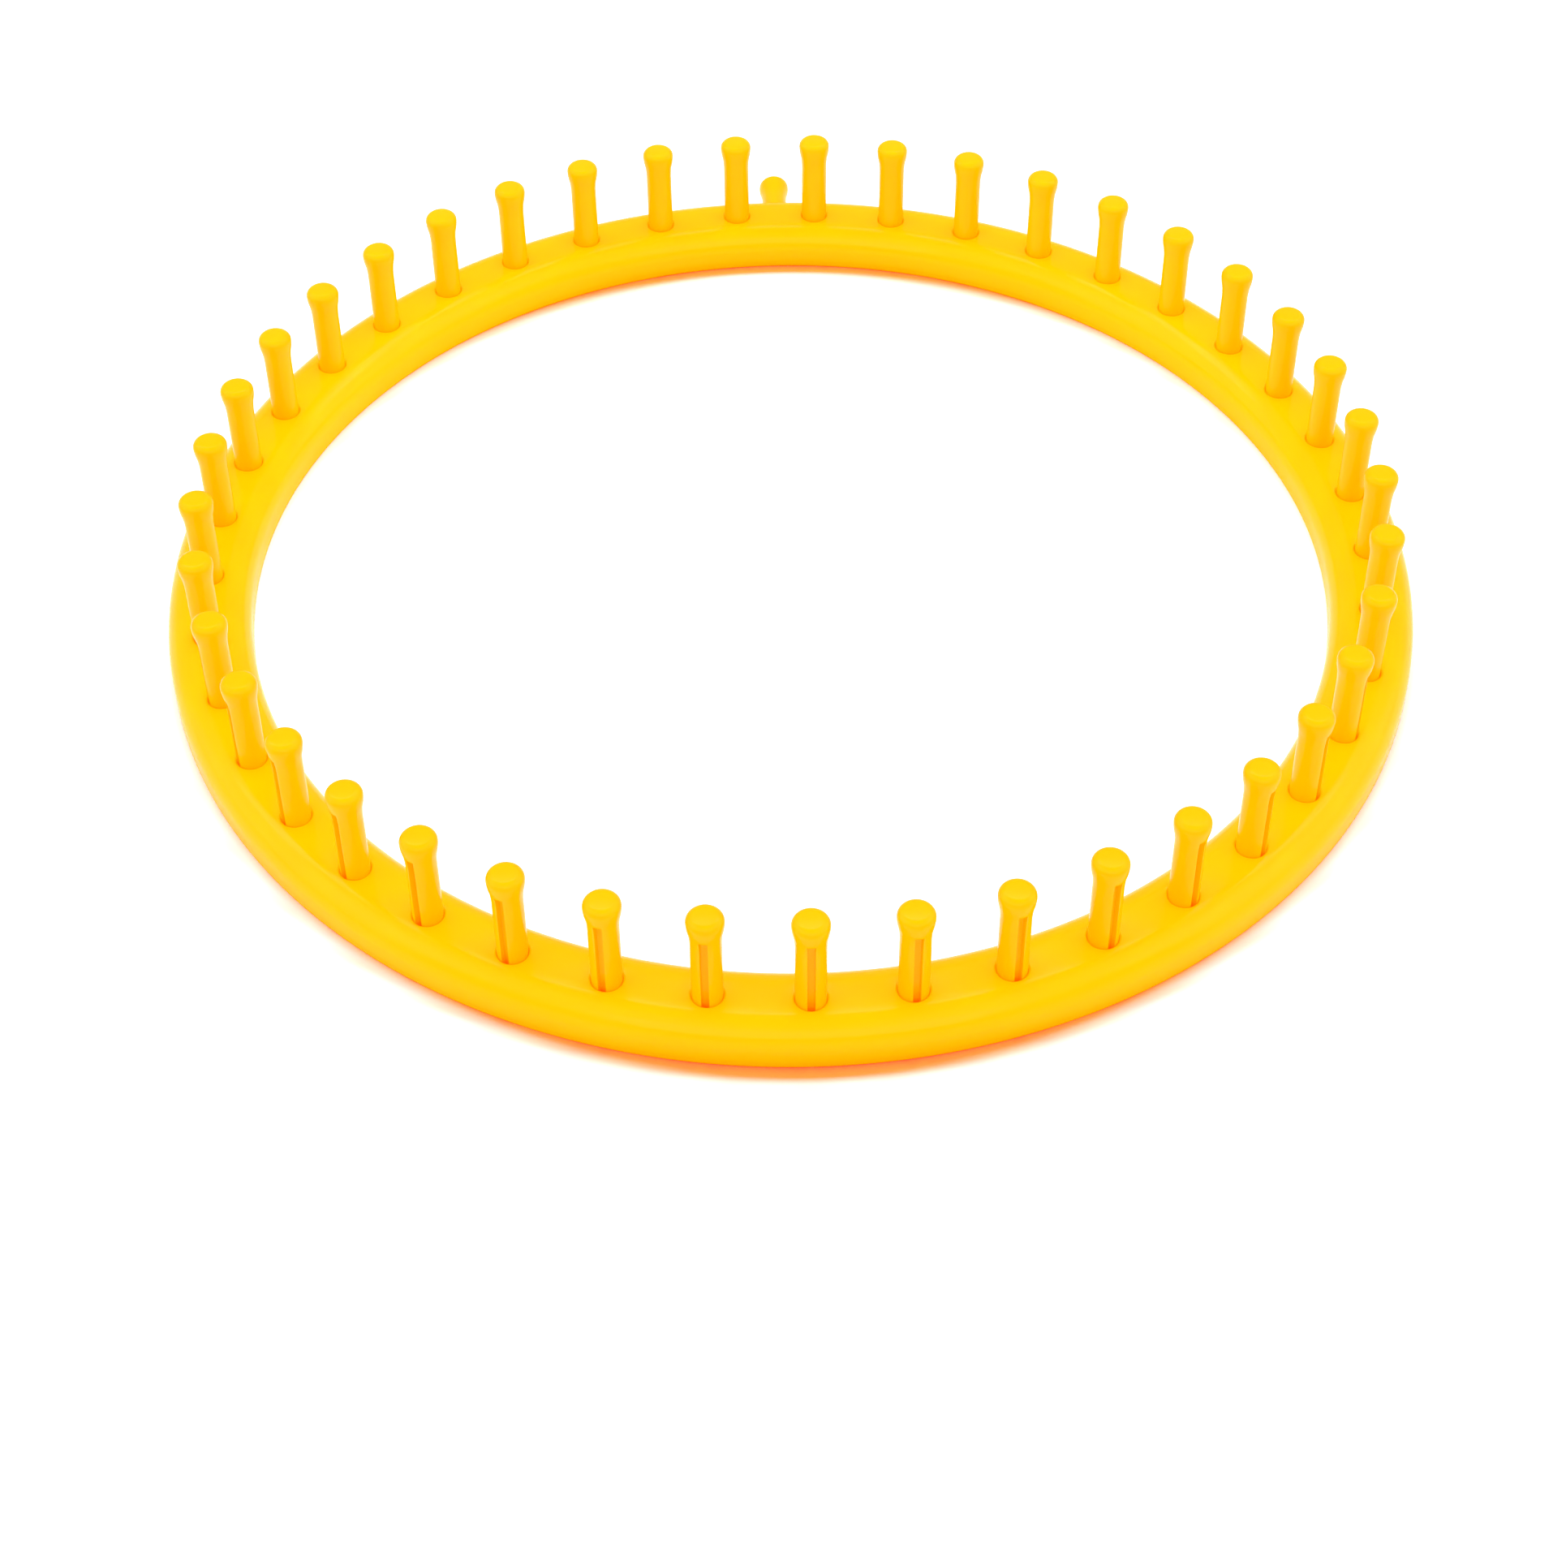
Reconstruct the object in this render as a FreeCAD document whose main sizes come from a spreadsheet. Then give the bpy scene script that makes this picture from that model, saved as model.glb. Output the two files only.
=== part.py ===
"""Round knitting loom, in millimetres: a moulded ring, 41 pressed-in pegs and a side anchor peg.

The origin is on the ring's axis, level with the rim that rests on the table. +Z is up and +Y
points at the anchor peg. One peg stands exactly at -Y, and the anchor peg lies between two pegs.
"""

import FreeCAD
import Part
import Sketcher

import math
import os

# Driving dimensions. Each one is a cell of the sheet, with the same alias.
SIZES = {
    # The ring: its outside, and the even wall it is moulded with.
    "ring_outer_radius": 145.0,
    "ring_width": 19.0,
    "ring_height": 10.3,
    "outer_shoulder": 6.0,
    "inner_shoulder": 6.1,
    "wall": 2.0,
    "rim_chamfer": 0.5,
    # Under the ring: a socket for each peg, braced by a web across the hollow.
    "socket_wall": 1.4,
    "socket_floor": 1.0,
    "socket_lift": 0.4,
    "web_thickness": 1.2,
    "web_lift": 3.0,
    # The pegs. The head widens from the shaft as a cone and ends in a bevelled crown.
    "peg_count": 41,
    "peg_reach": 23.6,
    "shaft_radius": 3.25,
    "press_clearance": 0.0,
    "head_radius": 3.95,
    "head_taper": 4.8,
    "crown_rise": 1.9,
    "crown_bevel": 1.3,
    # The slot down each shaft's outer side, which guides the hook under the yarn.
    "slot_width": 1.6,
    "slot_depth": 1.6,
    "slot_foot": 3.0,
    "slot_head_gap": 2.8,
    # The anchor peg, pressed sideways into the outer wall.
    "anchor_reach": 11.6,
    "anchor_depth": 10.5,
}

# Sizes that several features share, as expressions over the sheet.
INNER_RADIUS = "(Sizes.ring_outer_radius - Sizes.ring_width)"
PEG_CIRCLE = "(Sizes.ring_outer_radius - Sizes.ring_width / 2)"
SOCKET_RADIUS = "(Sizes.shaft_radius + Sizes.press_clearance)"
SOCKET_OUTER = f"({SOCKET_RADIUS} + Sizes.socket_wall)"
SOCKET_DEPTH = "(Sizes.ring_height - Sizes.socket_lift - Sizes.socket_floor)"
PEG_SEAT = "(Sizes.socket_lift + Sizes.socket_floor)"
PEG_LENGTH = f"({SOCKET_DEPTH} + Sizes.peg_reach)"
PEG_STEP = "(360 / Sizes.peg_count)"
ANCHOR_HEIGHT = "(Sizes.ring_height / 2)"
ANCHOR_SEAT = "(Sizes.ring_outer_radius - Sizes.anchor_depth)"
ANCHOR_LENGTH = "(Sizes.anchor_depth + Sizes.anchor_reach)"

# A bevel whose middle and ends lie about as far from a round shoulder as the wall is thick.
BEVEL_SHARE = "(2 - sqrt(2))"

# Half a turn of a sketch, about its upright axis or about its normal.
UPRIGHT_TURN = FreeCAD.Rotation(FreeCAD.Vector(0, 1, 0), 180)
NORMAL_TURN = FreeCAD.Rotation(FreeCAD.Vector(0, 0, 1), 180)

# Sketch numbers of the origin and the two axes, and of an edge's start, end and centre.
ORIGIN = (-1, 1)
LEVEL_AXIS = -1
UPRIGHT_AXIS = -2
START = 1
END = 2
CENTRE = 3


def make_sheet(doc):
    """The spreadsheet of driving dimensions."""
    sheet = doc.addObject("Spreadsheet::Sheet", "Sizes")
    for row, (alias, value) in enumerate(SIZES.items(), start=1):
        sheet.set(f"A{row}", alias)
        sheet.set(f"B{row}", str(value))
        sheet.setAlias(f"B{row}", alias)
    doc.recompute()


def value_of(item, expression):
    """What an expression over the sheet comes to now."""
    return float(item.Document.Sizes.evalExpression(expression))


def new_sketch(body, name, plane, lift=None, turn=FreeCAD.Rotation()):
    """A sketch on one of the body's own planes, turned and lifted along the plane's normal."""
    sketch = body.newObject("Sketcher::SketchObject", name)
    support = next(item for item in body.Origin.OriginFeatures if item.Role == plane)
    sketch.AttachmentSupport = (support, [""])
    sketch.MapMode = "FlatFace"
    sketch.AttachmentOffset = FreeCAD.Placement(FreeCAD.Vector(), turn)
    if lift:
        sketch.setExpression("AttachmentOffset.Base.z", lift)
    return sketch


def constrain(sketch, kind, *where):
    """A geometric constraint."""
    sketch.addConstraint(Sketcher.Constraint(kind, *where))


def dimension(sketch, name, expression, kind, *where):
    """A named dimension, driven by an expression."""
    size = Sketcher.Constraint(kind, *where, value_of(sketch, expression))
    number = sketch.addConstraint(size)
    sketch.renameConstraint(number, name)
    sketch.setExpression(f"Constraints.{name}", expression)


def place_point(sketch, name, edge, end, x, y):
    """Fixes a point of an edge at x and y, given as expressions, each zero or more."""
    if x == "0":
        constrain(sketch, "PointOnObject", edge, end, UPRIGHT_AXIS)
    else:
        dimension(sketch, f"{name}_x", x, "DistanceX", *ORIGIN, edge, end)
    if y == "0":
        constrain(sketch, "PointOnObject", edge, end, LEVEL_AXIS)
    else:
        dimension(sketch, f"{name}_y", y, "DistanceY", *ORIGIN, edge, end)


def draw_outline(sketch, corners):
    """A closed outline of straight edges, through named corners given as expressions."""
    points = []
    for _, x, y in corners:
        points.append(FreeCAD.Vector(value_of(sketch, x), value_of(sketch, y), 0))
    edges = []
    for number, point in enumerate(points):
        following = points[(number + 1) % len(points)]
        edges.append(sketch.addGeometry(Part.LineSegment(point, following)))
    for number, edge in enumerate(edges):
        following = edges[(number + 1) % len(edges)]
        constrain(sketch, "Coincident", edge, END, following, START)
    for (name, x, y), edge in zip(corners, edges):
        place_point(sketch, name, edge, START, x, y)


def draw_circle(sketch, name, radius, x, y):
    """A circle whose size and centre are expressions."""
    centre = FreeCAD.Vector(value_of(sketch, x), value_of(sketch, y), 0)
    round_value = value_of(sketch, radius)
    circle = sketch.addGeometry(Part.Circle(centre, FreeCAD.Vector(0, 0, 1), round_value))
    dimension(sketch, f"{name}_radius", radius, "Radius", circle)
    place_point(sketch, name, circle, CENTRE, x, y)


def add_line(sketch, start_x, start_y, end_x, end_y):
    """A straight edge between two points."""
    start = FreeCAD.Vector(start_x, start_y, 0)
    end = FreeCAD.Vector(end_x, end_y, 0)
    return sketch.addGeometry(Part.LineSegment(start, end))


def add_arc(sketch, x, y, radius, start_degrees):
    """A quarter of a circle, drawn anticlockwise."""
    circle = Part.Circle(FreeCAD.Vector(x, y, 0), FreeCAD.Vector(0, 0, 1), radius)
    start = math.radians(start_degrees)
    return sketch.addGeometry(Part.ArcOfCircle(circle, start, start + math.pi / 2))


def draw_ring_outside(sketch):
    """The ring's arched outside: a flat crown between two round shoulders, level at the rim."""
    outer = value_of(sketch, "Sizes.ring_outer_radius")
    inner = value_of(sketch, INNER_RADIUS)
    top = value_of(sketch, "Sizes.ring_height")
    big = value_of(sketch, "Sizes.outer_shoulder")
    small = value_of(sketch, "Sizes.inner_shoulder")
    outer_wall = add_line(sketch, outer, 0, outer, top - big)
    outer_bend = add_arc(sketch, outer - big, top - big, big, 0)
    crown = add_line(sketch, outer - big, top, inner + small, top)
    inner_bend = add_arc(sketch, inner + small, top - small, small, 90)
    inner_wall = add_line(sketch, inner, top - small, inner, 0)
    rim = add_line(sketch, inner, 0, outer, 0)

    constrain(sketch, "Vertical", outer_wall)
    constrain(sketch, "Horizontal", crown)
    constrain(sketch, "Vertical", inner_wall)
    constrain(sketch, "Tangent", outer_wall, END, outer_bend, START)
    constrain(sketch, "Tangent", outer_bend, END, crown, START)
    constrain(sketch, "Tangent", crown, END, inner_bend, START)
    constrain(sketch, "Tangent", inner_bend, END, inner_wall, START)
    constrain(sketch, "Coincident", inner_wall, END, rim, START)
    constrain(sketch, "Coincident", rim, END, outer_wall, START)
    place_point(sketch, "outer_rim", rim, END, "Sizes.ring_outer_radius", "0")
    place_point(sketch, "inner_rim", rim, START, INNER_RADIUS, "0")
    dimension(sketch, "height", "Sizes.ring_height", "DistanceY", *ORIGIN, crown, START)
    dimension(sketch, "outer_bend", "Sizes.outer_shoulder", "Radius", outer_bend)
    dimension(sketch, "inner_bend", "Sizes.inner_shoulder", "Radius", inner_bend)


def draw_ring_inside(sketch, inset, foot):
    """The section that lies an inset inside the ring's outside, level at its foot."""
    outer = f"Sizes.ring_outer_radius - {inset}"
    inner = f"{INNER_RADIUS} + {inset}"
    top = f"Sizes.ring_height - {inset}"
    outer_bevel = f"(Sizes.outer_shoulder - {inset}) * {BEVEL_SHARE}"
    inner_bevel = f"(Sizes.inner_shoulder - {inset}) * {BEVEL_SHARE}"
    corners = [
        ("outer_foot", outer, foot),
        ("outer_bevel", outer, f"{top} - {outer_bevel}"),
        ("outer_crown", f"{outer} - {outer_bevel}", top),
        ("inner_crown", f"{inner} + {inner_bevel}", top),
        ("inner_bevel", inner, f"{top} - {inner_bevel}"),
        ("inner_foot", inner, foot),
    ]
    draw_outline(sketch, corners)


def start_feature(body, kind, name, sketch):
    """A feature of the body that works on a sketch."""
    feature = body.newObject(f"PartDesign::{kind}", name)
    feature.Profile = (sketch, [""])
    return feature


def turn_profile(body, kind, name, sketch):
    """A full turn of a profile about its sketch's upright axis, added or cut away."""
    feature = start_feature(body, kind, name, sketch)
    feature.ReferenceAxis = (sketch, ["V_Axis"])
    feature.Angle = 360
    return feature


def plate_profile(body, kind, name, sketch, thickness):
    """A plate of some thickness with the sketch in its middle, added or cut away."""
    feature = start_feature(body, kind, name, sketch)
    feature.SideType = "Symmetric"
    feature.setExpression("Length", thickness)
    return feature


def repeat_for_pegs(body, name, originals):
    """The features repeated once for each peg, about the ring's axis."""
    axis = next(item for item in body.Origin.OriginFeatures if item.Role == "Z_Axis")
    pattern = body.newObject("PartDesign::PolarPattern", name)
    pattern.Originals = originals
    pattern.Axis = (axis, [""])
    pattern.Angle = 360
    pattern.setExpression("Occurrences", "Sizes.peg_count")
    body.Tip = pattern


def add_shell(body):
    """The bare ring: its outside turned once round, and its hollow turned out of it."""
    outside = new_sketch(body, "OutsideSection", "XZ_Plane")
    draw_ring_outside(outside)
    turn_profile(body, "Revolution", "Outside", outside)
    hollow = new_sketch(body, "HollowSection", "XZ_Plane")
    draw_ring_inside(hollow, "Sizes.wall", "0")
    return turn_profile(body, "Groove", "Hollow", hollow)


def chamfer_rim(body, shell):
    """A small chamfer round the foot of the outer wall."""
    body.Document.recompute()
    radius = value_of(body, "Sizes.ring_outer_radius")
    edges = []
    for number, edge in enumerate(shell.Shape.Edges, start=1):
        at_rim = abs(edge.BoundBox.ZMax) < 1e-6
        if at_rim and abs(edge.Curve.Radius - radius) < 1e-6:
            edges.append(f"Edge{number}")
    chamfer = body.newObject("PartDesign::Chamfer", "RimChamfer")
    chamfer.Base = (shell, edges)
    chamfer.setExpression("Size", "Sizes.rim_chamfer")


def add_peg_sockets(body):
    """One blind socket and its web at -Y, then all of them by a pattern, and then their bores."""
    web_section = new_sketch(body, "WebSection", "YZ_Plane", turn=UPRIGHT_TURN)
    draw_ring_inside(web_section, "Sizes.wall / 2", "Sizes.web_lift")
    web = plate_profile(body, "Pad", "Web", web_section, "Sizes.web_thickness")
    boss_circle = new_sketch(body, "SocketCircle", "XY_Plane", "Sizes.socket_lift", NORMAL_TURN)
    draw_circle(boss_circle, "socket", SOCKET_OUTER, "0", PEG_CIRCLE)
    boss = start_feature(body, "Pad", "Socket", boss_circle)
    boss.setExpression("Length", "Sizes.ring_height - Sizes.wall / 2 - Sizes.socket_lift")
    repeat_for_pegs(body, "Sockets", [web, boss])

    bore_circle = new_sketch(body, "BoreCircle", "XY_Plane", "Sizes.ring_height", NORMAL_TURN)
    draw_circle(bore_circle, "bore", SOCKET_RADIUS, "0", PEG_CIRCLE)
    bore = start_feature(body, "Pocket", "SocketBore", bore_circle)
    bore.setExpression("Length", SOCKET_DEPTH)
    repeat_for_pegs(body, "SocketBores", [bore])


def add_anchor_socket(body):
    """The anchor peg's socket at +Y: a block inside the hollow, bored from the outer wall."""
    outer = "Sizes.ring_outer_radius - Sizes.wall / 2"
    inner = f"{ANCHOR_SEAT} - Sizes.socket_floor"
    top = "Sizes.ring_height - Sizes.wall / 2"
    bevel = f"(Sizes.outer_shoulder - Sizes.wall / 2) * {BEVEL_SHARE}"
    corners = [
        ("outer_foot", outer, "Sizes.socket_lift"),
        ("outer_bevel", outer, f"{top} - {bevel}"),
        ("outer_crown", f"{outer} - {bevel}", top),
        ("inner_crown", inner, top),
        ("inner_foot", inner, "Sizes.socket_lift"),
    ]
    block_side = new_sketch(body, "AnchorBlockSide", "YZ_Plane")
    draw_outline(block_side, corners)
    plate_profile(body, "Pad", "AnchorBlock", block_side, f"2 * {SOCKET_OUTER}")

    mouth = new_sketch(body, "AnchorBoreCircle", "XZ_Plane", "-Sizes.ring_outer_radius")
    draw_circle(mouth, "bore", SOCKET_RADIUS, "0", ANCHOR_HEIGHT)
    bore = start_feature(body, "Pocket", "AnchorBore", mouth)
    bore.Reversed = True
    bore.setExpression("Length", "Sizes.anchor_depth")
    body.Tip = bore


def make_ring(doc):
    """The moulded ring, hollow underneath, with every socket."""
    body = doc.addObject("PartDesign::Body", "BaseRing")
    body.Label = "base_ring"
    shell = add_shell(body)
    chamfer_rim(body, shell)
    add_peg_sockets(body)
    add_anchor_socket(body)
    return body


def make_blank_peg(doc, name, length):
    """A peg with no slot, standing on the origin: half its outline turned once round."""
    body = doc.addObject("PartDesign::Body", name)
    body.Label = name
    widest = f"{length} - Sizes.crown_rise"
    corners = [
        ("tail_middle", "0", "0"),
        ("tail_side", "Sizes.shaft_radius", "0"),
        ("neck", "Sizes.shaft_radius", f"{widest} - Sizes.head_taper"),
        ("widest", "Sizes.head_radius", widest),
        ("crown_side", "Sizes.head_radius - Sizes.crown_bevel", length),
        ("crown_middle", "0", length),
    ]
    outline = new_sketch(body, "PegOutline", "XZ_Plane")
    draw_outline(outline, corners)
    turn_profile(body, "Revolution", "PegTurned", outline)
    return body


def cut_slot(body):
    """The slot down a peg's -Y side, from part way up the head's cone to a little above the tail."""
    floor = "Sizes.shaft_radius - Sizes.slot_depth"
    top = f"{PEG_LENGTH} - Sizes.crown_rise - Sizes.slot_head_gap"
    corners = [
        ("floor_foot", floor, "Sizes.slot_foot"),
        ("mouth_foot", "Sizes.head_radius", "Sizes.slot_foot"),
        ("mouth_top", "Sizes.head_radius", top),
        ("floor_top", floor, top),
    ]
    section = new_sketch(body, "SlotSection", "YZ_Plane", turn=UPRIGHT_TURN)
    draw_outline(section, corners)
    body.Tip = plate_profile(body, "Pocket", "Slot", section, "Sizes.slot_width")


def make_peg(doc, number):
    """One upright peg on its socket's floor, with its slot facing outwards."""
    body = make_blank_peg(doc, f"peg_{number + 1:02d}", PEG_LENGTH)
    cut_slot(body)
    turn = f"{number} * {PEG_STEP}"
    body.Placement.Rotation = FreeCAD.Rotation(FreeCAD.Vector(0, 0, 1), 0)
    body.setExpression("Placement.Rotation.Angle", turn)
    body.setExpression("Placement.Base.x", f"{PEG_CIRCLE} * sin({turn})")
    body.setExpression("Placement.Base.y", f"-{PEG_CIRCLE} * cos({turn})")
    body.setExpression("Placement.Base.z", PEG_SEAT)
    return body


def make_anchor_peg(doc):
    """The short peg in the side socket, pointing out at +Y."""
    body = make_blank_peg(doc, "anchor_peg", ANCHOR_LENGTH)
    body.Placement.Rotation = FreeCAD.Rotation(FreeCAD.Vector(1, 0, 0), -90)
    body.setExpression("Placement.Base.y", ANCHOR_SEAT)
    body.setExpression("Placement.Base.z", ANCHOR_HEIGHT)
    return body


def check(doc, bodies):
    """Stops the build if a feature failed or a piece isn't one valid solid."""
    for item in doc.Objects:
        if "Invalid" in item.State or "Error" in item.State:
            raise RuntimeError(f"{item.Label} failed: {item.State}")
    for body in bodies:
        shape = body.Shape
        if shape.isNull() or not shape.isValid() or len(shape.Solids) != 1:
            raise RuntimeError(f"{body.Label} isn't one valid solid")


def main():
    """Builds the loom and writes one STEP file for each piece."""
    doc = FreeCAD.newDocument("KnittingLoom")
    make_sheet(doc)
    bodies = [make_ring(doc)]
    bodies += [make_peg(doc, number) for number in range(SIZES["peg_count"])]
    bodies.append(make_anchor_peg(doc))
    doc.recompute()
    check(doc, bodies)
    os.makedirs("parts", exist_ok=True)
    for body in bodies:
        body.Shape.exportStep(f"parts/{body.Label}.step")


main()
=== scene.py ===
"""Looks for the round knitting loom: glossy yellow moulded plastic, standing on a pale table.

Every length is in metres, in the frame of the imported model. The origin is on the ring's axis at
table level, one peg stands at -Y, and the anchor peg points at +Y.
"""

import math

import bmesh
import bpy
from mathutils import Matrix, Vector


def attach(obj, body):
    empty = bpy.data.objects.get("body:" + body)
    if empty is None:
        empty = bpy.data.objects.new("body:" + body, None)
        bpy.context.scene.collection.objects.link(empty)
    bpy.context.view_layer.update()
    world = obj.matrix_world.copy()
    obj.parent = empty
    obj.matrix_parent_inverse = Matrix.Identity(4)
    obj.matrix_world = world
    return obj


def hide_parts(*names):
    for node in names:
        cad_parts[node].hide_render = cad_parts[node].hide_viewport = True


# The ring's section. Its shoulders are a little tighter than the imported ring's, which leaves more
# of the deck flat round the bores. The rows are extra points: on the walls they keep the shading
# even down to the rim, and on the ceiling they stand either side of the pegs' circle.
RING_OUTER = 0.145
RING_INNER = 0.126
RING_TOP = 0.0103
WALL = 0.002
CEILING = RING_TOP - WALL
SHOULDER = 0.0059
SHOULDER_SEGMENTS = 20
RIM_ROUNDING = 0.0003
OUTER_ROW = 0.0011
INNER_ROW = 0.0008
CEILING_ROW = 0.0018

# The pegs' places, their bores and their sockets. A socket's bore is a hair wider than the deck's.
PEG_COUNT = 41
PEG_STEP = math.tau / PEG_COUNT
PEG_CIRCLE = 0.1355
PEG_SEAT = 0.0014
ANCHOR_SEAT = 0.1345
BORE = 0.00326
LIP = 0.0006
SOCKET = 0.00465
SOCKET_BORE = 0.00327
SOCKET_FOOT = 0.0004
SOCKET_TOP = 0.0086
SOCKET_ROUNDING = 0.0003

# A peg's lengths and radii, and how far below its top the neck, the slot's end, the head's widest
# part and the crown lie.
PEG_LENGTH = 0.0325
ANCHOR_LENGTH = 0.0221
SHAFT = 0.00325
NECK = SHAFT + 0.0003
HEAD = 0.00395
NECK_DOWN = 0.0066
SLOT_DOWN = 0.0047
HEAD_DOWN = 0.0029
CROWN_DOWN = 0.00005
TAIL_ROUNDING = 0.0005
NECK_ROUNDING = 0.0016
HEAD_ROUNDING = 0.0011
CROWN_ROUNDING = 0.00165

# The slot: how far up the peg it starts, how deep it is, and how many of the peg's sides it takes.
SLOT_FOOT = 0.003
SLOT_DEPTH = 0.0016
SLOT_SIDES = 4
SLOT_SOFTENING = 0.00012

# The webs and the anchor peg's block run a little way into the ring's walls and deck. The upper
# corner at the wall is cut off, so that it stays inside the shoulder.
PLATE_INSET = 0.0013
PLATE_TOP = RING_TOP - 0.0015
PLATE_CUT = 0.0032
PLATE_SOFTENING = 0.00025
WEB_START = 0.1395
WEB_FOOT = 0.003
WEB_THICKNESS = 0.0012
BLOCK_START = 0.1335

# How finely the round shapes are divided, how near two points count as one, and how far a surface
# turns at an edge that is softened in a slot or shaded as sharp.
SECTOR_STEPS = 12
SOCKET_SIDES = 32
PEG_SIDES = 50
TOUCHING = 1e-6
SOFTENED_TURN = math.radians(40)
SHARP_TURN = math.radians(38)

# How far the strip of deck or ceiling that is made round each bore reaches from the pegs' circle,
# and how far its edges may lie under its middle.
STRIP_REACH = 0.0041
STRIP_DROP = 0.00003

# The inputs and outputs of a Mix node, which share their names with others.
NUMBER_A, NUMBER_B, NUMBER_RESULT = 2, 3, 0
COLOUR_A, COLOUR_B, COLOUR_RESULT = 6, 7, 2

# The table's reach each way and its colours, the strength of the light from all round, and the
# tint of the light that passes through the plastic.
WHITE = (1.0, 1.0, 1.0, 1.0)
TABLE_REACH = 0.8
TABLE_PAINT = (0.74, 0.74, 0.74, 1.0)
TABLE_SEEN = (0.9, 0.9, 1.0, 1.0)
ROOM_LIGHT = 0.07
SHADOW_TINT = (1.0, 0.45, 0.1, 1.0)

# The softboxes: a name, the azimuth round from the front and the elevation in degrees, the
# distance, the width and height, and the power in watts.
LOOM_SOFTBOXES = (
    ("front_softbox", 0, 35, 12.0, (12.0, 6.0), 605.0),
    ("front_right_softbox", 60, 50, 12.0, (12.0, 10.0), 350.0),
    ("front_left_softbox", 300, 50, 12.0, (12.0, 10.0), 350.0),
    ("right_softbox", 90, 30, 12.0, (12.0, 10.0), 600.0),
    ("left_softbox", 270, 30, 12.0, (12.0, 10.0), 600.0),
    ("back_softbox", 180, 64, 1.5, (2.5, 0.3), 15.0),
)
TABLE_SOFTBOX = ("table_softbox", 180, 61, 12.0, (20.0, 2.4), 3900.0)

# The photograph's size, focal length and middle of view in its own pixels, the sensor's width in
# millimetres, and where the camera stood, with its angles in degrees.
PICTURE_WIDTH = 1930
PICTURE_HEIGHT = 1932
FOCAL_LENGTH = 3547.5
VIEW_X = 974.5
VIEW_Y = 714.9
SENSOR_WIDTH = 36.0
CAMERA_DISTANCE = 0.6826
CAMERA_AZIMUTH = -1.559
CAMERA_ELEVATION = 42.218
CAMERA_ROLL = -0.25
NEAREST_SEEN = 0.01


# Shapes


def edges_of(verts):
    """Every edge that ends at one of the vertices, each of them once."""
    return list(dict.fromkeys(edge for vert in verts for edge in vert.link_edges))


def only(items, kind):
    """The vertices alone, or the edges alone, of what an operator made."""
    return [item for item in items if isinstance(item, kind)]


def soften(mesh, geom, size, segments, affect="EDGES", clamp=False):
    """Rounds edges of a mesh, or corners of an outline."""
    bmesh.ops.bevel(
        mesh, geom=geom, offset=size, affect=affect, segments=segments, profile=0.5, material=-1,
        clamp_overlap=clamp,
    )


def merge(mesh, verts, distance=TOUCHING):
    """Makes one of the vertices that lie on each other."""
    bmesh.ops.remove_doubles(mesh, verts=verts, dist=distance)


def face_outwards(mesh):
    """Points every face of a mesh outwards."""
    bmesh.ops.recalc_face_normals(mesh, faces=mesh.faces)


def turn(mesh, verts, angle):
    """Turns some of a mesh about the upright axis."""
    rotation = Matrix.Rotation(angle, 3, "Z")
    bmesh.ops.rotate(mesh, cent=(0, 0, 0), matrix=rotation, verts=verts)


def spin(mesh, geom, angle, steps, **options):
    """Sweeps or repeats some of a mesh about the upright axis."""
    bmesh.ops.spin(
        mesh, geom=geom, cent=(0, 0, 0), axis=(0, 0, 1), angle=angle, steps=steps, **options
    )


def draw_outline(mesh, points, closed=False):
    """Edges through points given as (radius, height, rounding, segments of the rounding)."""
    corners = [mesh.verts.new((radius, 0, height)) for radius, height, _, _ in points]
    ends = corners[1:] + corners[:1] if closed else corners[1:]
    for start, end in zip(corners, ends):
        mesh.edges.new((start, end))
    for corner, (_, _, rounding, segments) in zip(corners, points):
        if rounding:
            soften(mesh, [corner], rounding, segments, affect="VERTICES")


def add_round_shape(mesh, outline, sides, start=0.0):
    """A closed round shape about the upright axis, from an outline with both ends on it."""
    before = set(mesh.verts)
    draw_outline(mesh, outline)
    profile = [vert for vert in mesh.verts if vert not in before]
    turn(mesh, profile, start)
    spin(mesh, profile + edges_of(profile), math.tau, sides, use_merge=True)
    merge(mesh, [vert for vert in mesh.verts if vert not in before])
    return [vert for vert in mesh.verts if vert not in before]


def strip_edges(mesh, height):
    """The edges near the pegs' circle on the deck, or on the hollow's ceiling under it."""
    def on_strip(vert):
        reach = abs(math.hypot(vert.co.x, vert.co.y) - PEG_CIRCLE)
        return reach < STRIP_REACH and abs(vert.co.z - height) < STRIP_DROP

    return [edge for edge in mesh.edges if all(on_strip(vert) for vert in edge.verts)]


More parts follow.
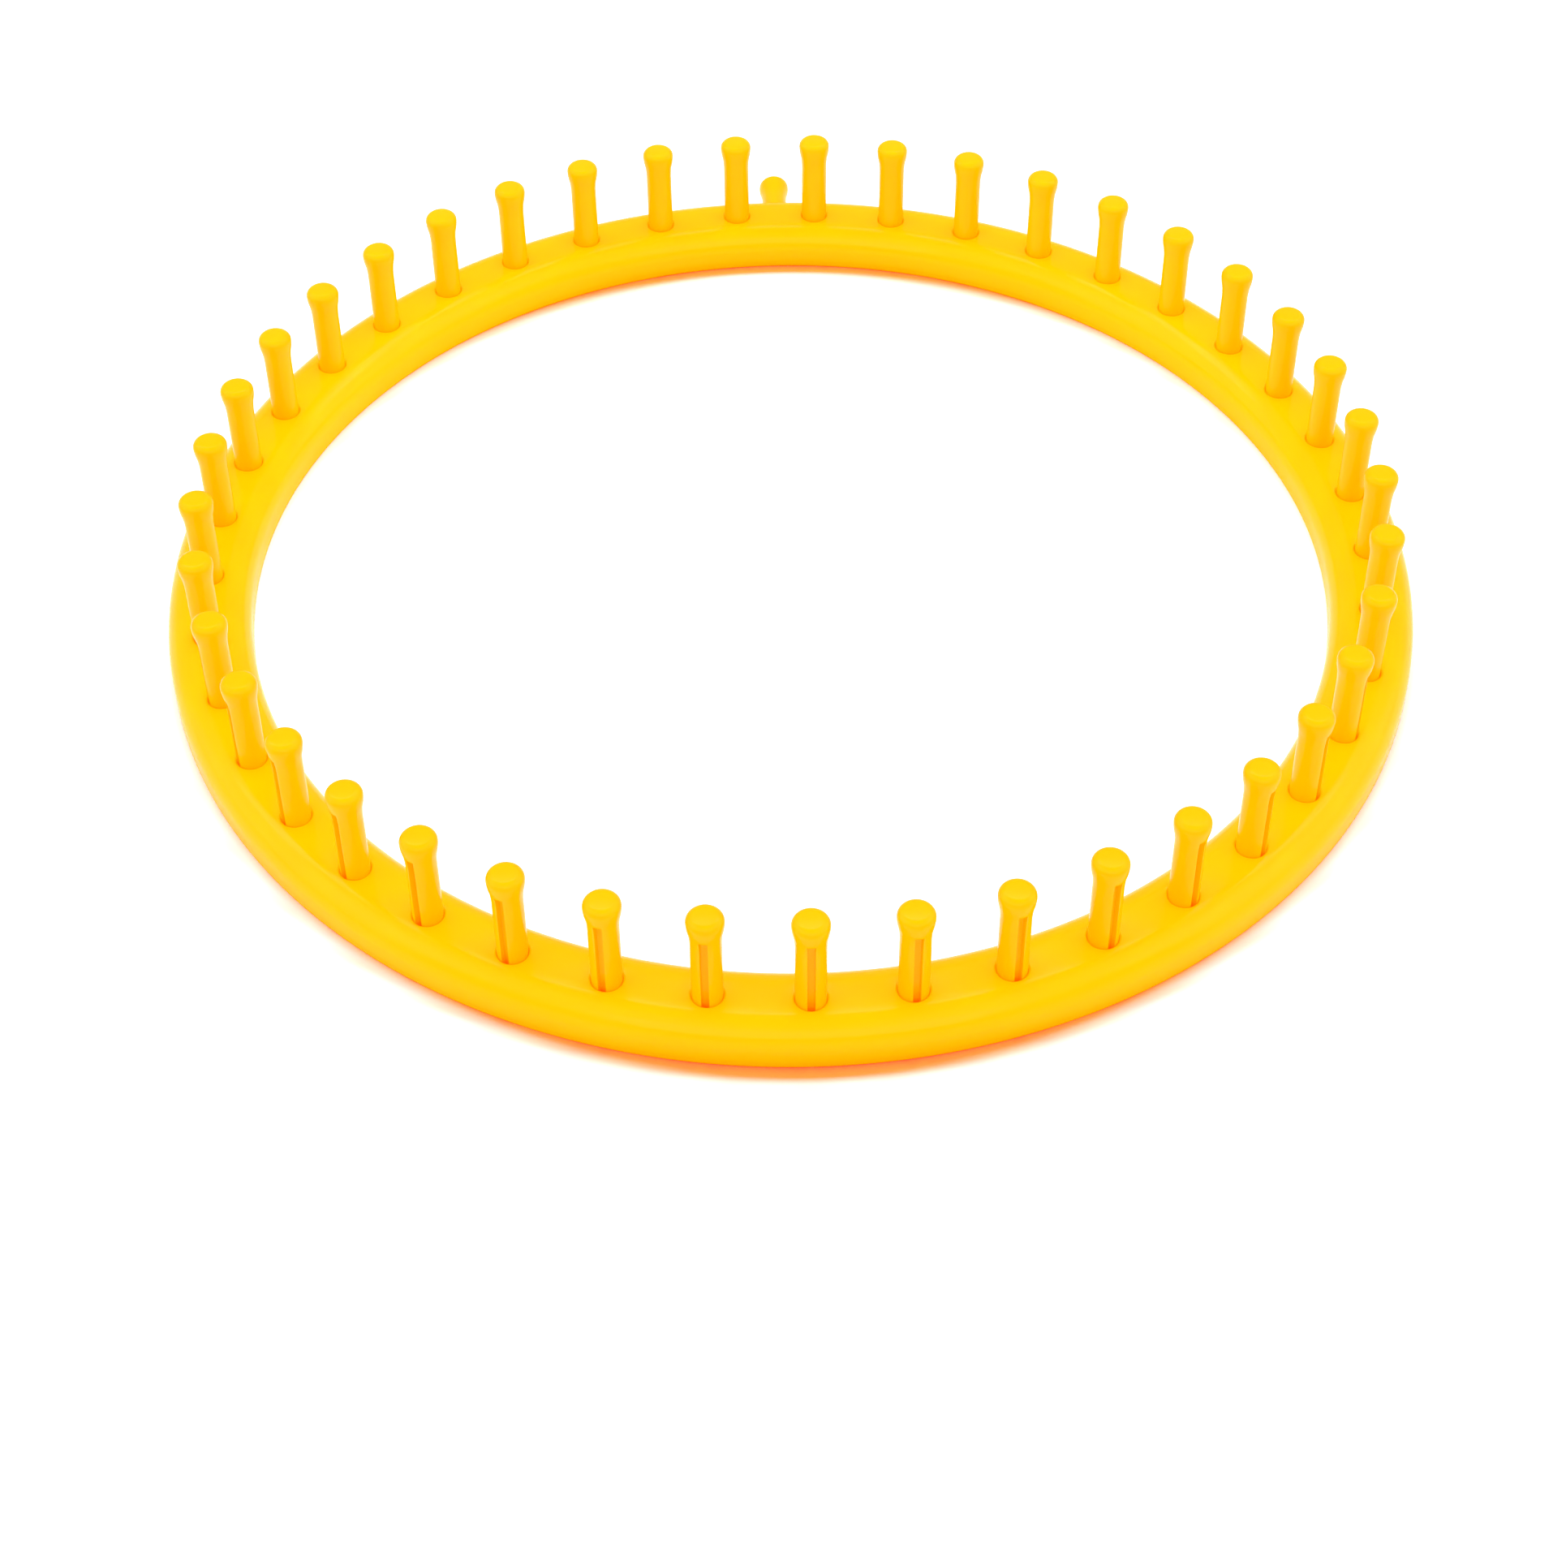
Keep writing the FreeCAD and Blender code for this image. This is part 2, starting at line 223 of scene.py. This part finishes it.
def spin_ring_sector(mesh):
    """The ring's skin over one peg's share of the turn, with the deck and the ceiling open."""
    outer_inside = RING_OUTER - WALL
    inner_inside = RING_INNER + WALL
    section = [
        (PEG_CIRCLE, RING_TOP, 0, 0),
        (RING_OUTER, RING_TOP, SHOULDER, SHOULDER_SEGMENTS),
        (RING_OUTER, OUTER_ROW, 0, 0),
        (RING_OUTER, 0, RIM_ROUNDING, 5),
        (outer_inside, 0, RIM_ROUNDING, 2),
        (outer_inside, CEILING, SHOULDER - WALL, 6),
        (PEG_CIRCLE + CEILING_ROW, CEILING, 0, 0),
        (PEG_CIRCLE, CEILING, 0, 0),
        (PEG_CIRCLE - CEILING_ROW, CEILING, 0, 0),
        (inner_inside, CEILING, SHOULDER - WALL, 6),
        (inner_inside, 0, RIM_ROUNDING, 2),
        (RING_INNER, 0, RIM_ROUNDING, 3),
        (RING_INNER, INNER_ROW, 0, 0),
        (RING_INNER, RING_TOP, SHOULDER, SHOULDER_SEGMENTS),
    ]
    draw_outline(mesh, section, closed=True)
    turn(mesh, mesh.verts, -math.pi / 2 - PEG_STEP / 2)
    open_edges = strip_edges(mesh, RING_TOP) + strip_edges(mesh, CEILING)
    skin_edges = [edge for edge in mesh.edges if edge not in open_edges]
    for edges, steps, copied in ((skin_edges, SECTOR_STEPS, False), (open_edges, 1, True)):
        verts = list(dict.fromkeys(vert for edge in edges for vert in edge.verts))
        spin(mesh, verts + edges, PEG_STEP, steps, use_duplicate=copied)
    merge(mesh, mesh.verts)
    face_outwards(mesh)


def sink_bore(mesh):
    """The deck and the ceiling round one peg, and the bore that lets the peg through them."""
    deck = strip_edges(mesh, RING_TOP)
    ceiling = strip_edges(mesh, CEILING)
    circle = bmesh.ops.create_circle(
        mesh, cap_ends=False, segments=len(deck), radius=BORE,
        matrix=Matrix.Translation((0, -PEG_CIRCLE, RING_TOP)),
    )
    mouth = edges_of(circle["verts"])
    wall = bmesh.ops.extrude_edge_only(mesh, edges=mouth)["geom"]
    low_verts = only(wall, bmesh.types.BMVert)
    low_edges = only(wall, bmesh.types.BMEdge)
    bmesh.ops.translate(mesh, vec=(0, 0, CEILING - RING_TOP), verts=low_verts)
    bmesh.ops.bridge_loops(mesh, edges=deck + mouth)
    bmesh.ops.bridge_loops(mesh, edges=ceiling + low_edges)
    soften(mesh, mouth, LIP, 4)


def plate_corners(start, foot):
    """Corners of a plate that runs out into the ring's outer wall, as (radius, height)."""
    end = RING_OUTER - PLATE_INSET
    return [
        (start, foot), (end, foot), (end, PLATE_TOP - PLATE_CUT), (end - PLATE_CUT, PLATE_TOP),
        (start, PLATE_TOP),
    ]


def add_plate(mesh, corners, thickness):
    """An upright plate along the radius at -Y, from corners given as (radius, height)."""
    near = [mesh.verts.new((-thickness / 2, -radius, height)) for radius, height in corners]
    face = mesh.faces.new(near)
    moved = bmesh.ops.extrude_face_region(mesh, geom=[face], use_keep_orig=True)["geom"]
    far = only(moved, bmesh.types.BMVert)
    bmesh.ops.translate(mesh, vec=(thickness, 0, 0), verts=far)
    lowest = min(height for _, height in corners)
    foot = [
        edge for edge in edges_of(near + far)
        if all(vert.co.z < lowest + TOUCHING for vert in edge.verts)
    ]
    soften(mesh, foot, PLATE_SOFTENING, 2)


def add_socket(mesh):
    """The blind socket that hangs under the deck round one bore, and the webs that brace it."""
    outline = [
        (0, SOCKET_FOOT, 0, 0),
        (SOCKET, SOCKET_FOOT, SOCKET_ROUNDING, 2),
        (SOCKET, SOCKET_TOP, 0, 0),
        (SOCKET_BORE, SOCKET_TOP, 0, 0),
        (SOCKET_BORE, PEG_SEAT, 0, 0),
        (0, PEG_SEAT, 0, 0),
    ]
    cup = add_round_shape(mesh, outline, SOCKET_SIDES)
    bmesh.ops.translate(mesh, vec=(0, -PEG_CIRCLE, 0), verts=cup)
    outer_web = plate_corners(WEB_START, WEB_FOOT)
    inner_web = [(2 * PEG_CIRCLE - radius, height) for radius, height in outer_web]
    for web in (inner_web, outer_web):
        add_plate(mesh, web, WEB_THICKNESS)


def add_anchor_block(mesh):
    """The block inside the outer wall that holds the anchor peg."""
    before = set(mesh.verts)
    add_plate(mesh, plate_corners(BLOCK_START, SOCKET_FOOT), 2 * SOCKET)
    turn(mesh, [vert for vert in mesh.verts if vert not in before], math.pi)


def make_ring_mesh():
    """The whole moulded ring, from one sector repeated for each peg."""
    mesh = bmesh.new()
    spin_ring_sector(mesh)
    sink_bore(mesh)
    add_socket(mesh)
    face_outwards(mesh)
    sector = mesh.verts[:] + mesh.edges[:] + mesh.faces[:]
    spin(mesh, sector, math.tau - PEG_STEP, PEG_COUNT - 1, use_duplicate=True)
    merge(mesh, mesh.verts, 2 * TOUCHING)
    add_anchor_block(mesh)
    return mesh


def make_peg_mesh(length):
    """A peg standing on the origin: shaft, flared neck, cone and rounded crown."""
    outline = [
        (0, 0, 0, 0),
        (SHAFT, 0, TAIL_ROUNDING, 3),
        (SHAFT, SLOT_FOOT, 0, 0),
        (SHAFT, length - NECK_DOWN, NECK_ROUNDING, 6),
        (NECK, length - SLOT_DOWN, 0, 0),
        (HEAD, length - HEAD_DOWN, HEAD_ROUNDING, 5),
        (HEAD, length - CROWN_DOWN, CROWN_ROUNDING, 8),
        (0, length, 0, 0),
    ]
    mesh = bmesh.new()
    add_round_shape(mesh, outline, PEG_SIDES, start=-math.pi / 2)
    face_outwards(mesh)
    return mesh


def cut_slot(mesh, length):
    """The slot down a peg's -Y side, which guides the hook under the yarn."""
    reach = SLOT_SIDES / 2 * math.tau / PEG_SIDES
    strip = []
    for face in mesh.faces:
        middle = face.calc_center_median()
        heights = [vert.co.z for vert in face.verts]
        above_foot = min(heights) > SLOT_FOOT - TOUCHING
        below_end = max(heights) < length - SLOT_DOWN + TOUCHING
        if above_foot and below_end and abs(math.atan2(middle.x, -middle.y)) < reach:
            strip.append(face)
    floor = only(bmesh.ops.extrude_face_region(mesh, geom=strip)["geom"], bmesh.types.BMVert)
    bmesh.ops.scale(mesh, vec=(1, 0, 1), verts=floor)
    bmesh.ops.translate(mesh, vec=(0, SLOT_DEPTH - SHAFT, 0), verts=floor)
    bmesh.ops.delete(mesh, geom=strip, context="FACES")
    face_outwards(mesh)
    walls = dict.fromkeys(face for edge in edges_of(floor) for face in edge.link_faces)
    edges = dict.fromkeys(edge for face in walls for edge in face.edges)
    sharp = [
        edge for edge in edges if edge.is_manifold and edge.calc_face_angle(0) > SOFTENED_TURN
    ]
    soften(mesh, sharp, SLOT_SOFTENING, 2, clamp=True)


def finish_piece(mesh, name, node, material, place=None):
    """Makes a finished piece of a mesh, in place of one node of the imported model."""
    if place is not None:
        bmesh.ops.transform(mesh, matrix=place, verts=mesh.verts)
    face_outwards(mesh)
    for face in mesh.faces:
        face.smooth = True
    for edge in mesh.edges:
        edge.smooth = edge.calc_face_angle(0) < SHARP_TURN
    data = bpy.data.meshes.new(name)
    mesh.to_mesh(data)
    data.materials.append(material)
    piece = bpy.data.objects.new(name, data)
    bpy.context.scene.collection.objects.link(piece)
    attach(piece, "root")
    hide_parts(node)


# Materials


def set_inputs(node, values):
    """Sets inputs of a node by their names."""
    for name, value in values.items():
        node.inputs[name].default_value = value


def add_node(tree, kind, values=None, **settings):
    """A node of a tree, with its settings and the values of its inputs."""
    node = tree.nodes.new(kind)
    for name, setting in settings.items():
        setattr(node, name, setting)
    set_inputs(node, values or {})
    return node


def new_effect(name, values, output, kind):
    """A new node group with a Vector, the named inputs and one output, and its two end nodes."""
    group = bpy.data.node_groups.new(name, "ShaderNodeTree")
    new_socket = group.interface.new_socket
    new_socket(name="Vector", in_out="INPUT", socket_type="NodeSocketVector")
    for socket, value in values.items():
        value_kind = "NodeSocketFloat" if isinstance(value, float) else "NodeSocketColor"
        made = new_socket(name=socket, in_out="INPUT", socket_type=value_kind)
        made.default_value = value
    new_socket(name=output, in_out="OUTPUT", socket_type=kind)
    return group, group.nodes.new("NodeGroupInput"), group.nodes.new("NodeGroupOutput")


def make_moulded_skin():
    """The faint waviness of a moulded surface, and a fine grain on top of it."""
    group, start, end = new_effect(
        "moulded_skin", {"Wave Scale": 90.0, "Grain Scale": 1400.0, "Grain Share": 0.15},
        "Height", "NodeSocketFloat",
    )
    wave = add_node(group, "ShaderNodeTexNoise", {"Detail": 1.0, "Roughness": 0.4})
    grain = add_node(group, "ShaderNodeTexNoise", {"Detail": 2.0, "Roughness": 0.6})
    mixed = add_node(group, "ShaderNodeMix", data_type="FLOAT")
    link = group.links.new
    link(start.outputs["Vector"], wave.inputs["Vector"])
    link(start.outputs["Wave Scale"], wave.inputs["Scale"])
    link(start.outputs["Vector"], grain.inputs["Vector"])
    link(start.outputs["Grain Scale"], grain.inputs["Scale"])
    link(start.outputs["Grain Share"], mixed.inputs["Factor"])
    link(wave.outputs["Fac"], mixed.inputs[NUMBER_A])
    link(grain.outputs["Fac"], mixed.inputs[NUMBER_B])
    link(mixed.outputs[NUMBER_RESULT], end.inputs["Height"])
    return group


def make_handling_marks():
    """Patches dulled by hands and yarn, as a roughness between two values."""
    group, start, end = new_effect(
        "handling_marks", {"Patch Scale": 60.0, "Glossy": 0.25, "Dull": 0.4},
        "Roughness", "NodeSocketFloat",
    )
    patch = add_node(group, "ShaderNodeTexNoise", {"Detail": 4.0, "Roughness": 0.65})
    spread = add_node(
        group, "ShaderNodeMapRange", {"From Min": 0.35, "From Max": 0.7},
        interpolation_type="SMOOTHSTEP",
    )
    link = group.links.new
    link(start.outputs["Vector"], patch.inputs["Vector"])
    link(start.outputs["Patch Scale"], patch.inputs["Scale"])
    link(patch.outputs["Fac"], spread.inputs["Value"])
    link(start.outputs["Glossy"], spread.inputs["To Min"])
    link(start.outputs["Dull"], spread.inputs["To Max"])
    link(spread.outputs["Result"], end.inputs["Roughness"])
    return group


def make_melt_flow():
    """The slight drift of colour that the melt leaves as it fills the mould."""
    group, start, end = new_effect(
        "melt_flow", {"Drift Scale": 25.0, "Clear Colour": WHITE, "Deep Colour": WHITE},
        "Colour", "NodeSocketColor",
    )
    drift = add_node(
        group, "ShaderNodeTexNoise", {"Detail": 3.0, "Roughness": 0.55, "Distortion": 0.8}
    )
    mixed = add_node(group, "ShaderNodeMix", data_type="RGBA")
    link = group.links.new
    link(start.outputs["Vector"], drift.inputs["Vector"])
    link(start.outputs["Drift Scale"], drift.inputs["Scale"])
    link(drift.outputs["Fac"], mixed.inputs["Factor"])
    link(start.outputs["Clear Colour"], mixed.inputs[COLOUR_A])
    link(start.outputs["Deep Colour"], mixed.inputs[COLOUR_B])
    link(mixed.outputs[COLOUR_RESULT], end.inputs["Colour"])
    return group


def make_plastic(name, skin, marks, flow, relief_depth):
    """Glossy yellow plastic, which lets a little light through its skin.

    Each effect comes as a pair: its node group, and the values of its inputs.
    """
    material = bpy.data.materials.new(name)
    material.use_nodes = True
    tree = material.node_tree
    shader = tree.nodes["Principled BSDF"]
    set_inputs(shader, {
        "IOR": 1.46,
        "Specular IOR Level": 0.06,
        "Subsurface Weight": 0.12,
        "Subsurface Radius": (1.0, 0.45, 0.05),
        "Subsurface Scale": 0.0015,
    })
    link = tree.links.new
    place = add_node(tree, "ShaderNodeTexCoord")
    effects = []
    for group, values in (skin, marks, flow):
        effect = add_node(tree, "ShaderNodeGroup", values, node_tree=group)
        link(place.outputs["Object"], effect.inputs["Vector"])
        effects.append(effect)
    height, dulling, colour = effects
    relief = add_node(tree, "ShaderNodeBump", {"Strength": 1.0, "Distance": relief_depth})
    link(height.outputs["Height"], relief.inputs["Height"])
    link(relief.outputs["Normal"], shader.inputs["Normal"])
    link(dulling.outputs["Roughness"], shader.inputs["Roughness"])
    link(colour.outputs["Colour"], shader.inputs["Base Color"])
    path = add_node(tree, "ShaderNodeLightPath")
    glow = add_node(tree, "ShaderNodeBsdfTransparent", {"Color": SHADOW_TINT})
    passed = add_node(tree, "ShaderNodeMixShader")
    link(path.outputs["Is Shadow Ray"], passed.inputs[0])
    link(shader.outputs["BSDF"], passed.inputs[1])
    link(glow.outputs["BSDF"], passed.inputs[2])
    link(passed.outputs[0], tree.nodes["Material Output"].inputs["Surface"])
    return material


# The table, the light and the camera


def seen_rays(tree):
    """A mask of the rays that show a background: straight, mirrored or through glass."""
    path = add_node(tree, "ShaderNodeLightPath")
    both = add_node(tree, "ShaderNodeMath", operation="MAXIMUM")
    tree.links.new(path.outputs["Is Camera Ray"], both.inputs[0])
    tree.links.new(path.outputs["Is Glossy Ray"], both.inputs[1])
    every = add_node(tree, "ShaderNodeMath", operation="MAXIMUM")
    tree.links.new(both.outputs[0], every.inputs[0])
    tree.links.new(path.outputs["Is Transmission Ray"], every.inputs[1])
    return every.outputs[0]


def make_table():
    """A plain pale table top, which the camera sees a little lighter than it is."""
    material = bpy.data.materials.new("pale_table")
    material.use_nodes = True
    tree = material.node_tree
    tree.nodes.remove(tree.nodes["Principled BSDF"])
    paint = add_node(tree, "ShaderNodeMix", data_type="RGBA")
    paint.inputs[COLOUR_A].default_value = TABLE_PAINT
    paint.inputs[COLOUR_B].default_value = TABLE_SEEN
    surface = add_node(tree, "ShaderNodeBsdfDiffuse")
    tree.links.new(seen_rays(tree), paint.inputs["Factor"])
    tree.links.new(paint.outputs[COLOUR_RESULT], surface.inputs["Color"])
    tree.links.new(surface.outputs["BSDF"], tree.nodes["Material Output"].inputs["Surface"])
    mesh = bmesh.new()
    bmesh.ops.create_grid(mesh, x_segments=1, y_segments=1, size=TABLE_REACH)
    data = bpy.data.meshes.new("table_top")
    mesh.to_mesh(data)
    data.materials.append(material)
    table = bpy.data.objects.new("table_top", data)
    bpy.context.scene.collection.objects.link(table)
    return table


def light_room():
    """A weak even light from all round, in which the camera sees a white backdrop."""
    world = bpy.data.worlds.new("studio")
    world.use_nodes = True
    bpy.context.scene.world = world
    tree = world.node_tree
    strength = add_node(tree, "ShaderNodeMix", data_type="FLOAT")
    strength.inputs[NUMBER_A].default_value = ROOM_LIGHT
    strength.inputs[NUMBER_B].default_value = 1.0
    background = tree.nodes["Background"]
    background.inputs["Color"].default_value = WHITE
    tree.links.new(seen_rays(tree), strength.inputs["Factor"])
    tree.links.new(strength.outputs[NUMBER_RESULT], background.inputs["Strength"])


def outward(azimuth, elevation):
    """The direction away from the loom, at degrees round from the front and degrees up."""
    turned = math.radians(azimuth)
    raised = math.radians(elevation)
    level = math.cos(raised)
    return Vector((math.sin(turned) * level, -math.cos(turned) * level, math.sin(raised)))


def hang_softbox(name, azimuth, elevation, distance, size, power):
    """A softbox that faces the loom."""
    lamp = bpy.data.lights.new(name, "AREA")
    lamp.shape = "RECTANGLE"
    lamp.size, lamp.size_y = size
    lamp.energy = power
    softbox = bpy.data.objects.new(name, lamp)
    direction = outward(azimuth, elevation)
    softbox.location = direction * distance
    softbox.rotation_euler = direction.to_track_quat("Z", "Y").to_euler()
    bpy.context.scene.collection.objects.link(softbox)
    return softbox


def aim_light(softbox, table, state):
    """Keeps a softbox's light on the table alone, or off it."""
    aim = bpy.data.collections.new(softbox.name + "_aim")
    aim.objects.link(table)
    aim.collection_objects[0].light_linking.link_state = state
    softbox.light_linking.receiver_collection = aim


def place_camera():
    """The photograph's camera, which looks down at the ring's middle from the front."""
    roll = math.radians(CAMERA_ROLL)
    back = outward(CAMERA_AZIMUTH, CAMERA_ELEVATION)
    right = (-back).cross(Vector((0, 0, 1))).normalized()
    up = right.cross(-back)
    turned_right = right * math.cos(roll) + up * math.sin(roll)
    turned_up = up * math.cos(roll) - right * math.sin(roll)
    axes = Matrix((turned_right, turned_up, back)).transposed()
    lens = bpy.data.cameras.new("camera")
    lens.sensor_fit = "HORIZONTAL"
    lens.sensor_width = SENSOR_WIDTH
    lens.lens = FOCAL_LENGTH / PICTURE_WIDTH * SENSOR_WIDTH
    lens.shift_x = (PICTURE_WIDTH / 2 - VIEW_X) / PICTURE_WIDTH
    lens.shift_y = (VIEW_Y - PICTURE_HEIGHT / 2) / PICTURE_WIDTH
    lens.clip_start = NEAREST_SEEN
    camera = bpy.data.objects.new("camera", lens)
    camera.matrix_world = Matrix.Translation(back * CAMERA_DISTANCE) @ axes.to_4x4()
    bpy.context.scene.collection.objects.link(camera)
    bpy.context.scene.camera = camera


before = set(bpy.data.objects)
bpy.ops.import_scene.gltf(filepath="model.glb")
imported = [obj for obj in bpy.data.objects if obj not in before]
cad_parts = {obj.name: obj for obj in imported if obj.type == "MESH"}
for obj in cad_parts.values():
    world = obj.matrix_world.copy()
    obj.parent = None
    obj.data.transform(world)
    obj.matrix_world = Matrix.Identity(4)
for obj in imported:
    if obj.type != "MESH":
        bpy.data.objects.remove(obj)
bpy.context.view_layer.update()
bpy.context.scene.view_settings.view_transform = "Standard"

skin = make_moulded_skin()
marks = make_handling_marks()
flow = make_melt_flow()
ring_plastic = make_plastic(
    "ring_plastic",
    skin=(skin, {"Wave Scale": 70.0, "Grain Scale": 1500.0, "Grain Share": 0.12}),
    marks=(marks, {"Patch Scale": 45.0, "Glossy": 0.16, "Dull": 0.22}),
    flow=(flow, {
        "Drift Scale": 22.0,
        "Clear Colour": (1.0, 0.565, 0.0, 1.0),
        "Deep Colour": (1.0, 0.525, 0.0, 1.0),
    }),
    relief_depth=0.00004,
)
peg_plastic = make_plastic(
    "peg_plastic",
    skin=(skin, {"Wave Scale": 160.0, "Grain Scale": 2200.0, "Grain Share": 0.15}),
    marks=(marks, {"Patch Scale": 120.0, "Glossy": 0.15, "Dull": 0.24}),
    flow=(flow, {
        "Drift Scale": 60.0,
        "Clear Colour": (1.0, 0.535, 0.0, 1.0),
        "Deep Colour": (1.0, 0.495, 0.0, 1.0),
    }),
    relief_depth=0.00003,
)

finish_piece(make_ring_mesh(), "moulded_ring", "base_ring", ring_plastic)

stand = Matrix.Translation((0, -PEG_CIRCLE, PEG_SEAT))
for number in range(PEG_COUNT):
    shape = make_peg_mesh(PEG_LENGTH)
    cut_slot(shape, PEG_LENGTH)
    seat = Matrix.Rotation(number * PEG_STEP, 4, "Z") @ stand
    name = f"{number + 1:02d}"
    finish_piece(shape, f"moulded_peg_{name}", f"peg_{name}", peg_plastic, seat)

anchor_shape = make_peg_mesh(ANCHOR_LENGTH)
lie_down = Matrix.Rotation(-math.pi / 2, 4, "X")
anchor_seat = Matrix.Translation((0, ANCHOR_SEAT, RING_TOP / 2)) @ lie_down
finish_piece(anchor_shape, "moulded_anchor_peg", "anchor_peg", peg_plastic, anchor_seat)

table_top = make_table()
light_room()
for row in LOOM_SOFTBOXES:
    aim_light(hang_softbox(*row), table_top, "EXCLUDE")
aim_light(hang_softbox(*TABLE_SOFTBOX), table_top, "INCLUDE")
place_camera()
